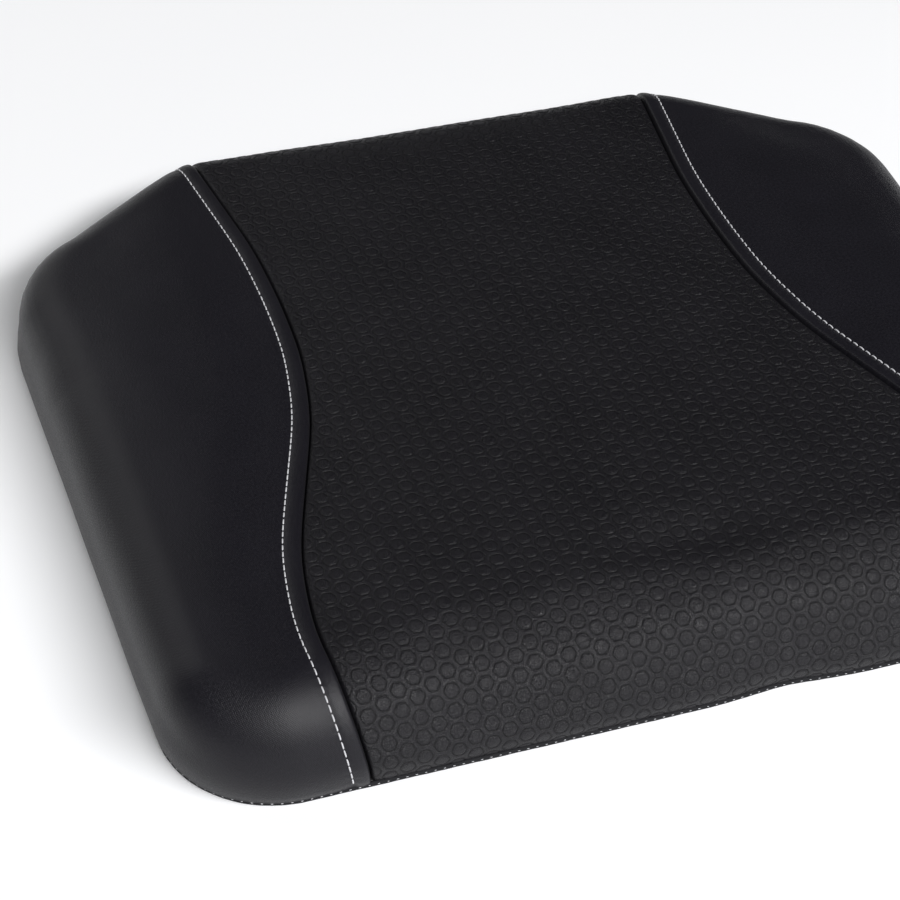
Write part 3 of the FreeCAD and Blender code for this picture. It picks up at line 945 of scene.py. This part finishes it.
def hook_field(node, centre, half_x, half_y, root):
    """Rows of J-shaped hooks."""
    x = np.arange(-half_x, half_x, HOOK_PITCH)
    y = np.arange(-half_y, half_y, HOOK_PITCH)
    grid_x, grid_y = np.meshgrid(x, y)
    draw = np.random.default_rng(17)
    spots = np.column_stack([grid_x.ravel(), grid_y.ravel()]) + draw.normal(0, 0.08, (grid_x.size, 2))
    facing = np.where(np.arange(len(y)) % 2, 1.0, -1.0).repeat(len(x))
    path = np.array([
        (0, 0.05), (0, 0.03), (0, -0.30), (0.06, -0.52), (0.26, -0.64), (0.46, -0.54), (0.50, -0.38),
    ])
    girth = np.array([0, 0.17, 0.13, 0.12, 0.11, 0.09, 0])
    sides = 5
    angle = np.linspace(0, 2 * math.pi, sides, endpoint=False)
    tangent = np.gradient(path, axis=0)
    tangent /= np.linalg.norm(tangent, axis=1)[:, None]
    local = np.zeros((len(path), sides, 3))
    local[:, :, 0] = path[:, None, 0] - tangent[:, None, 1] * np.cos(angle) * girth[:, None]
    local[:, :, 2] = path[:, None, 1] + tangent[:, None, 0] * np.cos(angle) * girth[:, None]
    local[:, :, 1] = np.sin(angle) * girth[:, None]
    local = local.reshape(-1, 3)
    points = np.tile(local, (len(spots), 1, 1))
    points[:, :, 0] *= facing[:, None]
    points[:, :, 0] += centre[0] + spots[:, None, 0]
    points[:, :, 1] += centre[1] + spots[:, None, 1]
    points[:, :, 2] += root
    faces = repeated(grid_faces(len(path), sides, wrap=True), len(spots))
    return weld(make_mesh(node + "_field", points.reshape(-1, 3), faces))


def strip_stitch_piece():
    """Stitches round both hook strips."""
    border = 2.0
    turn = 5.0
    down = (0, 0, -1)
    rows = []
    for node in ("front_hook_strip", "rear_hook_strip"):
        low, high = cad_box(node)
        z = high[2] - HOOK_TAPE
        for y in (low[1] + border, high[1] - border):
            rows.append(thread_line("row", (low[0] + turn, y, z), (high[0] - turn, y, z), down))
        for x in (low[0] + border, high[0] - border):
            rows.append(thread_line("row", (x, low[1] + turn, z), (x, high[1] - turn, z), down))
    return join("hook_strip_threads", rows)


def zip_stitch_piece():
    """A row of stitches above and below the zip's slot."""
    y = WALL_Y + 0.05
    rows = []
    for side in (-1, 1):
        z = ZIP_HEIGHT + side * (SLOT_HALF_HEIGHT + 3.0)
        rows.append(thread_line("row", (-SLOT_HALF, y, z), (SLOT_HALF, y, z), (0, 1, 0)))
    return join("zip_threads", rows)


# ---- materials

class Nodes:
    """Short way to build one material's node tree."""

    def __init__(self, name):
        self.material = bpy.data.materials.new(name)
        self.material.use_nodes = True
        self.tree = self.material.node_tree
        self.shader = self.tree.nodes["Principled BSDF"]

    def add(self, kind, **settings):
        node = self.tree.nodes.new(kind)
        for key, value in settings.items():
            if key in node.inputs.keys():
                node.inputs[key].default_value = value
            else:
                setattr(node, key, value)
        return node

    def link(self, source, target):
        self.tree.links.new(source, target)

    def set(self, **values):
        names = {
            "roughness": "Roughness",
            "metallic": "Metallic",
            "sheen": "Sheen Weight",
            "sheen_roughness": "Sheen Roughness",
            "specular": "Specular IOR Level",
        }
        for key, value in values.items():
            self.shader.inputs[names[key]].default_value = value

    def coordinates(self, kind="Object"):
        return self.add("ShaderNodeTexCoord").outputs[kind]

    def noise(self, vector, size, detail=3.0, roughness=0.5):
        node = self.add("ShaderNodeTexNoise", Scale=1.0 / size, Detail=detail, Roughness=roughness)
        self.link(vector, node.inputs["Vector"])
        return node.outputs["Fac"]

    def drive(self, socket, value):
        self.link(value, self.shader.inputs[socket])

    def math(self, operation, first, second=None):
        node = self.add("ShaderNodeMath", operation=operation)
        for index, value in enumerate((first, second)):
            if value is None:
                continue
            if isinstance(value, (int, float)):
                node.inputs[index].default_value = value
            else:
                self.link(value, node.inputs[index])
        return node.outputs[0]

    def ramp(self, value, low, high, dark, light):
        limits = {"From Min": low, "From Max": high, "To Min": dark, "To Max": light}
        node = self.add("ShaderNodeMapRange", **limits)
        self.link(value, node.inputs["Value"])
        return node.outputs["Result"]

    def blend(self, factor, first, second):
        node = self.add("ShaderNodeMix", data_type="RGBA")
        self.link(factor, node.inputs[0])
        node.inputs[6].default_value = (*first, 1)
        node.inputs[7].default_value = (*second, 1)
        return node.outputs[2]

    def bump(self, height, strength, distance_mm):
        node = self.add("ShaderNodeBump", Strength=strength, Distance=distance_mm * MM)
        self.link(height, node.inputs["Height"])
        self.drive("Normal", node.outputs["Normal"])


def textile(name, dark, light, specular, roughness, thread_mm=0.9, fleck_mm=1.1, bump_mm=0.20):
    """Fine woven cloth: crossed threads along its own grain, flecks and slow changes of tone."""
    made = Nodes(name)
    vector = made.coordinates("UV")
    split = made.add("ShaderNodeSeparateXYZ")
    made.link(vector, split.inputs[0])
    turn = 2 * math.pi / thread_mm
    warp = made.math("SINE", made.math("MULTIPLY", split.outputs[0], turn))
    weft = made.math("SINE", made.math("MULTIPLY", split.outputs[1], turn))
    weave = made.math("MULTIPLY", warp, weft)
    fleck = made.noise(vector, fleck_mm, 4.0, 0.7)
    tone = made.noise(vector, 38.0, 3.0)
    flecked = made.ramp(fleck, 0.32, 0.68, 0.0, 0.75)
    shade = made.math("ADD", flecked, made.ramp(tone, 0.3, 0.7, 0.0, 0.25))
    made.drive("Base Color", made.blend(shade, dark, light))
    gloss = made.ramp(fleck, 0.3, 0.7, roughness - 0.06, roughness + 0.08)
    made.drive("Roughness", gloss)
    made.set(specular=specular, sheen=0.02, sheen_roughness=0.5)
    grain = made.math("ADD", made.math("MULTIPLY", weave, 0.25), made.math("MULTIPLY", fleck, 1.6))
    made.bump(grain, 0.6, bump_mm)
    return made.material


def cell_radius(made, vector, offset):
    """Distance from the nearest cell centre of one half of the honeycomb, rounded-hexagon shaped."""
    moved = made.add("ShaderNodeVectorMath", operation="SUBTRACT")
    made.link(vector, moved.inputs[0])
    moved.inputs[1].default_value = (*offset, 0)
    local = made.add("ShaderNodeVectorMath", operation="WRAP")
    made.link(moved.outputs[0], local.inputs[0])
    local.inputs[1].default_value = (CELL_COLUMN, CELL_PITCH / 2, 1)
    local.inputs[2].default_value = (-CELL_COLUMN, -CELL_PITCH / 2, -1)
    length = made.add("ShaderNodeVectorMath", operation="LENGTH")
    made.link(local.outputs[0], length.inputs[0])
    hexagon = 0.0
    for angle in (90, 30, 150):
        turn = math.radians(angle)
        side = made.add("ShaderNodeVectorMath", operation="DOT_PRODUCT")
        made.link(local.outputs[0], side.inputs[0])
        side.inputs[1].default_value = (math.cos(turn), math.sin(turn), 0)
        hexagon = made.math("MAXIMUM", made.math("ABSOLUTE", side.outputs["Value"]), hexagon)
    rounding = made.math("MULTIPLY", length.outputs["Value"], 0.4)
    return made.math("ADD", made.math("MULTIPLY", hexagon, 0.6), rounding)


def vinyl(name):
    """Leather-grained vinyl; the pressed ring of every honeycomb cell is duller, and its colour carries
    painted shade that darkens the groove.
    """
    made = Nodes(name)
    vector = made.coordinates("UV")
    radius = made.math("MINIMUM", cell_radius(made, vector, (0, 0)),
                       cell_radius(made, vector, (CELL_COLUMN, CELL_PITCH / 2)))
    inner = made.ramp(radius, CELL_RADIUS - 0.2, CELL_RADIUS + 0.1, 0.0, 1.0)
    outer = made.ramp(radius, CELL_RADIUS + 0.25, CELL_RADIUS + 0.6, 1.0, 0.0)
    ring = made.math("MULTIPLY", inner, outer)
    pores = made.add("ShaderNodeTexVoronoi", feature="DISTANCE_TO_EDGE", Scale=1 / 0.8)
    made.link(vector, pores.inputs["Vector"])
    grain = made.noise(vector, 1.2, 5.0, 0.65)
    tone = made.noise(vector, 45.0, 3.0)
    grained = made.ramp(grain, 0.32, 0.68, 0.0, 0.7)
    shade = made.math("ADD", grained, made.ramp(tone, 0.3, 0.7, 0.0, 0.3))
    colour = made.blend(shade, (0.0032, 0.0029, 0.0042), (0.0135, 0.0127, 0.0158))
    # Painted shade: inside each cell's pressed ring the colour is darkened towards near black, as shade
    # in the groove.
    pressed = made.add("ShaderNodeMix", data_type="RGBA")
    made.link(made.math("MULTIPLY", ring, 0.75), pressed.inputs[0])
    made.link(colour, pressed.inputs[6])
    pressed.inputs[7].default_value = (0.0030, 0.0030, 0.0035, 1)
    made.drive("Base Color", pressed.outputs[2])
    dull = made.math("MULTIPLY", ring, 0.22)
    gloss = made.ramp(grain, 0.3, 0.7, 0.34, 0.48)
    made.drive("Roughness", made.math("ADD", gloss, dull))
    made.set(specular=0.29)
    creases = made.ramp(pores.outputs["Distance"], 0.0, 0.2, 0.0, 0.5)
    height = made.math("ADD", made.math("ADD", creases, grain), made.math("MULTIPLY", ring, -0.7))
    made.bump(height, 0.8, 0.27)
    return made.material


def thread_material(name, dark, light):
    """Twisted bonded thread."""
    made = Nodes(name)
    vector = made.coordinates()
    twist = made.add("ShaderNodeTexWave", bands_direction="DIAGONAL", Scale=1 / (0.9 * MM))
    made.link(vector, twist.inputs["Vector"])
    made.drive("Base Color", made.blend(twist.outputs["Fac"], dark, light))
    gloss = made.ramp(made.noise(vector, 0.5 * MM), 0.3, 0.7, 0.45, 0.7)
    made.drive("Roughness", gloss)
    made.set(sheen=0.2)
    made.bump(twist.outputs["Fac"], 0.5, 0.08)
    return made.material


def plain_plastic(name, dark, light, roughness, metallic=0.0):
    """Moulded or lacquered surface with faint mottling."""
    made = Nodes(name)
    vector = made.coordinates()
    mottle = made.noise(vector, 2.5 * MM, 4.0)
    colour = made.blend(made.ramp(mottle, 0.3, 0.7, 0.0, 1.0), dark, light)
    made.drive("Base Color", colour)
    made.drive("Roughness", made.ramp(mottle, 0.3, 0.7, roughness, roughness + 0.15))
    made.set(metallic=metallic)
    made.bump(made.noise(vector, 0.4 * MM), 0.3, 0.03)
    return made.material


# ---- assembly

wing_cloth = textile("wing_cloth", (0.0026, 0.0023, 0.0042), (0.0104, 0.0096, 0.0140), 0.31, 0.42)
zip_cloth = textile("zip_cloth", (0.008, 0.008, 0.010), (0.018, 0.018, 0.020), 0.2, 0.75)
welt_cloth = textile("welt_cloth", (0.006, 0.006, 0.008), (0.014, 0.014, 0.016), 0.2, 0.7)
base_cloth = textile("base_cloth", (0.010, 0.010, 0.011), (0.026, 0.026, 0.028), 0.2, 0.85,
                     thread_mm=2.0, fleck_mm=2.0, bump_mm=0.8)
honeycomb_vinyl = vinyl("honeycomb_vinyl")
white_thread = thread_material("white_thread", (0.46, 0.46, 0.48), (0.72, 0.72, 0.75))
dark_thread = thread_material("dark_thread", (0.04, 0.04, 0.045), (0.16, 0.16, 0.17))
zip_metal = plain_plastic("zip_metal", (0.02, 0.02, 0.022), (0.05, 0.05, 0.052), 0.32, 0.6)
zip_plastic = plain_plastic("zip_plastic", (0.012, 0.012, 0.013), (0.03, 0.03, 0.032), 0.35)
hook_plastic = plain_plastic("hook_plastic", (0.012, 0.012, 0.013), (0.035, 0.035, 0.036), 0.55)

BODY = "cushion"


def dress(piece, material, slot, *nodes):
    """Material and body of a fixed piece, and the CAD nodes it stands in for; slot is not used."""
    piece.data.materials.clear()
    piece.data.materials.append(material)
    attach(piece, BODY)
    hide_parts(*nodes)
    return piece


centre_cover = dress(centre_piece(), honeycomb_vinyl, "honeycomb_vinyl",
                     "centre_panel", "comfort_foam", "foam_core")
for name, side, seed in (("right", 1, 11), ("left", -1, 23)):
    wing = dress(wing_piece(name + "_wing_cover", side, seed), wing_cloth, "wing_textile",
                 name + "_wing_panel", name + "_seam_allowance", name + "_bolster_foam")
    stitches = topstitch_piece(name + "_topstitches", side, seed)
    dress(stitches, white_thread, "white_thread", name + "_topstitch")

dress(rear_zip_piece(), wing_cloth, "wing_textile", "rear_zip_panel")
dress(zip_stitch_piece(), dark_thread, "dark_thread", "zip_stitches")
dress(tape_piece("zip_tape_upper", 1), zip_cloth, "zip_tape", "zip_tape_upper")
dress(tape_piece("zip_tape_lower", -1), zip_cloth, "zip_tape", "zip_tape_lower")
dress(welt_piece(), welt_cloth, "welt_textile", "perimeter_welt", "welt_cord")
# Painted highlight: white thread on the piping's stitches stands for glints on dark stitches.
dress(welt_stitches(), white_thread, "white_thread", "perimeter_stitches")
base = dress(base_piece(), base_cloth, "base_fabric", "base_panel")
dress(strip_stitch_piece(), dark_thread, "dark_thread", "hook_strip_stitches")
for node in ("front_hook_strip", "rear_hook_strip"):
    dress(hook_strip_piece(node), hook_plastic, "hook_tape", node)

for node, material in (
    ("zip_slider", zip_metal),
    ("zip_pull_tab", zip_metal),
    ("zip_end_stops", zip_metal),
    ("zip_teeth_upper", zip_plastic),
    ("zip_teeth_lower", zip_plastic),
):
    mesh = NODES[node].data
    mesh.materials.clear()
    mesh.materials.append(material)


# ---- camera, floor and light

CAMERA_AT = (-0.3369, -0.7768, 0.7096)
CAMERA_AZIMUTH = 20.73
CAMERA_ELEVATION = 40.84
CAMERA_ROLL = 2.80
CAMERA_LENS = 98.0


def add_camera():
    azimuth = math.radians(CAMERA_AZIMUTH)
    elevation = math.radians(CAMERA_ELEVATION)
    roll = math.radians(CAMERA_ROLL)
    level = math.cos(elevation)
    forward = Vector((math.sin(azimuth) * level, math.cos(azimuth) * level, -math.sin(elevation)))
    right = forward.cross(Vector((0, 0, 1))).normalized()
    up = right.cross(forward)
    tilted_right = right * math.cos(roll) + up * math.sin(roll)
    tilted_up = up * math.cos(roll) - right * math.sin(roll)
    data = bpy.data.cameras.new("camera")
    data.lens = CAMERA_LENS
    data.sensor_width = 36.0
    camera = bpy.data.objects.new("camera", data)
    bpy.context.scene.collection.objects.link(camera)
    turn = Matrix((tilted_right, tilted_up, -forward)).transposed().to_4x4()
    camera.matrix_world = Matrix.Translation(Vector(CAMERA_AT)) @ turn
    bpy.context.scene.camera = camera


def add_area(name, at, toward, size, power):
    data = bpy.data.lights.new(name, "AREA")
    data.shape = "RECTANGLE"
    data.size, data.size_y = size
    data.energy = power
    light = bpy.data.objects.new(name, data)
    light.location = at
    light.rotation_euler = (Vector(toward) - Vector(at)).to_track_quat("-Z", "Y").to_euler()
    bpy.context.scene.collection.objects.link(light)


def add_floor():
    """Seamless white paper, lit from below like a light table so that it stays evenly bright."""
    size = 30000.0
    corners = [(-size, -size, 0), (size, -size, 0), (size, size, 0), (-size, size, 0)]
    floor = make_mesh("floor", corners, [[0, 1, 2, 3]])
    paper = Nodes("floor_paper")
    vector = paper.coordinates()
    mottle = paper.noise(vector, 0.3)
    paper.drive("Base Color", paper.blend(mottle, (0.90, 0.91, 0.93), (0.93, 0.93, 0.94)))
    paper.set(roughness=0.9, specular=0.1)
    paper.shader.inputs["Emission Color"].default_value = (1, 1, 1, 1)
    paper.shader.inputs["Emission Strength"].default_value = 0.12
    floor.data.materials.append(paper.material)


def add_world():
    world = bpy.data.worlds.new("studio")
    bpy.context.scene.world = world
    world.use_nodes = True
    world.node_tree.nodes["Background"].inputs["Color"].default_value = (0.93, 0.95, 1.0, 1)
    world.node_tree.nodes["Background"].inputs["Strength"].default_value = 0.03


add_camera()
add_floor()
add_world()
add_area("front", (0.86, -2.36, 2.33), (0, -0.10, 0.03), (3.2, 0.62), 168)
add_area("rear_left", (-0.80, 1.05, 0.95), (0, 0, 0.04), (1.2, 0.8), 5)
bpy.context.scene.view_settings.view_transform = "Standard"
